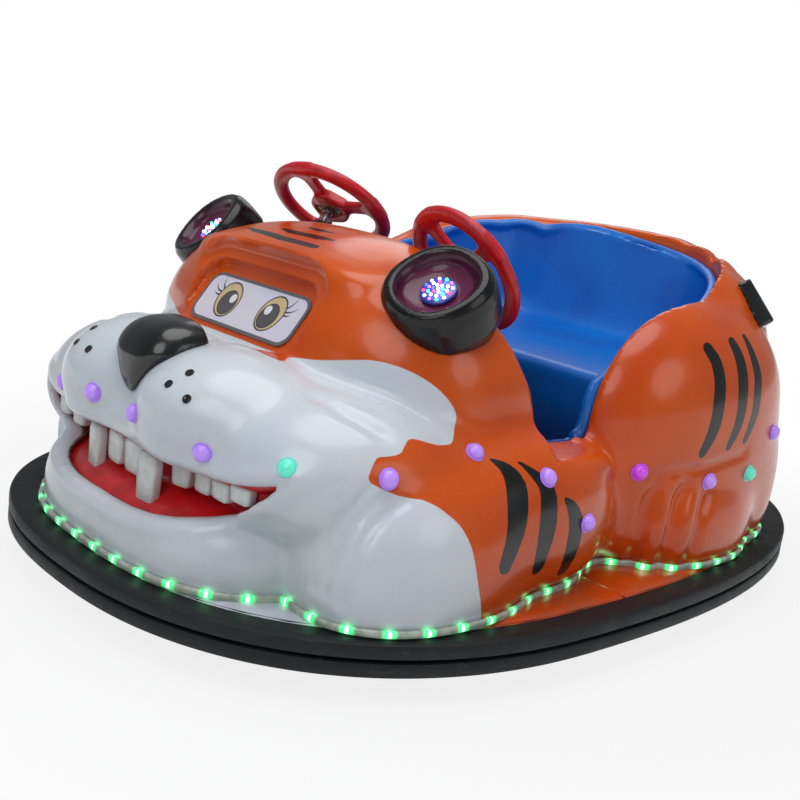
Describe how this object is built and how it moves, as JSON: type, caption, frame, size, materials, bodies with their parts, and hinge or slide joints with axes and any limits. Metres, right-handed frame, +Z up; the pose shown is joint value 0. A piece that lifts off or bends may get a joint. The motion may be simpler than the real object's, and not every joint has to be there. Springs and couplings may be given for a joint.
{
  "type": "bumper car",
  "caption": "Battery bumper car for two, with a moulded tiger body, a rubber bumper ring, a tub seat and two steering wheels.",
  "frame": {"origin": "middle of the bounding box on the ground, under the car", "axes": "the face looks along -Y, +X is the car's left side, +Z is up"},
  "size_m": [1.25, 1.79, 0.7619],
  "materials": {
    "body": "gloss",
    "tub": "gloss",
    "bumper": "matt",
    "black_gloss": "gloss",
    "mouth": "gloss",
    "teeth": "gloss",
    "panel": "satin",
    "lamp": "satin",
    "strip": "gloss",
    "frame": "satin",
    "sheet": "satin",
    "steel": "satin",
    "tyre": "matt",
    "wheel_red": "gloss",
    "battery": "matt"
  },
  "bodies": {
    "car_body": {"bumper_lower": "bumper", "bumper_upper": "bumper", "bumper_band": "frame", "head_shell": "body", "rear_shell": "body", "light_strip": "strip", "seat_tub": "tub", "nose": "black_gloss", "eye_panel": "panel", "mouth_lining": "mouth", "teeth": "teeth", "tail_tip": "black_gloss", "ear_left": "black_gloss", "ear_light_left": "lamp", "ear_right": "black_gloss", "ear_light_right": "lamp", "chassis_frame": "frame", "floor_pan": "sheet", "rear_axle": "frame", "column_bearing_right": "frame", "column_bearing_left": "frame", "battery_pack": "battery"},
    "left_steering": {"steering_wheel_left": "wheel_red", "steering_column_left": "steel"},
    "right_steering": {"steering_wheel_right": "wheel_red", "steering_column_right": "steel"},
    "fork": {"front_fork": "frame"},
    "front_wheel": {"front_tyre": "tyre", "front_hub_motor": "steel"},
    "rear_wheel_left": {"rear_tyre_left": "tyre", "rear_rim_left": "steel"},
    "rear_wheel_right": {"rear_tyre_right": "tyre", "rear_rim_right": "steel"}
  },
  "joints": [
    {"name": "left_steering_turn", "type": "hinge", "parent": "car_body", "child": "left_steering", "pos_m": [0.203, -0.24, 0.616], "axis": [0.035, 0.8283, 0.5592], "range_deg": [-120, 120]},
    {"name": "right_steering_turn", "type": "hinge", "parent": "car_body", "child": "right_steering", "pos_m": [-0.2, -0.238, 0.677], "axis": [-0.1759, 0.5797, 0.7956], "range_deg": [-120, 120]},
    {"name": "fork_turn", "type": "hinge", "parent": "car_body", "child": "fork", "pos_m": [0, -0.47, 0.25], "axis": [0, 0, 1], "range_deg": [-60, 60]},
    {"name": "front_wheel_spin", "type": "hinge", "parent": "fork", "child": "front_wheel", "pos_m": [0, -0.47, 0.1], "axis": [1, 0, 0], "continuous": true},
    {"name": "rear_wheel_left_spin", "type": "hinge", "parent": "car_body", "child": "rear_wheel_left", "pos_m": [0.29, 0.45, 0.09], "axis": [1, 0, 0], "continuous": true},
    {"name": "rear_wheel_right_spin", "type": "hinge", "parent": "car_body", "child": "rear_wheel_right", "pos_m": [-0.29, 0.45, 0.09], "axis": [1, 0, 0], "continuous": true}
  ],
  "couplings": [
    {"joint": "fork_turn", "follows": "left_steering_turn", "ratio": 0.5}
  ]
}
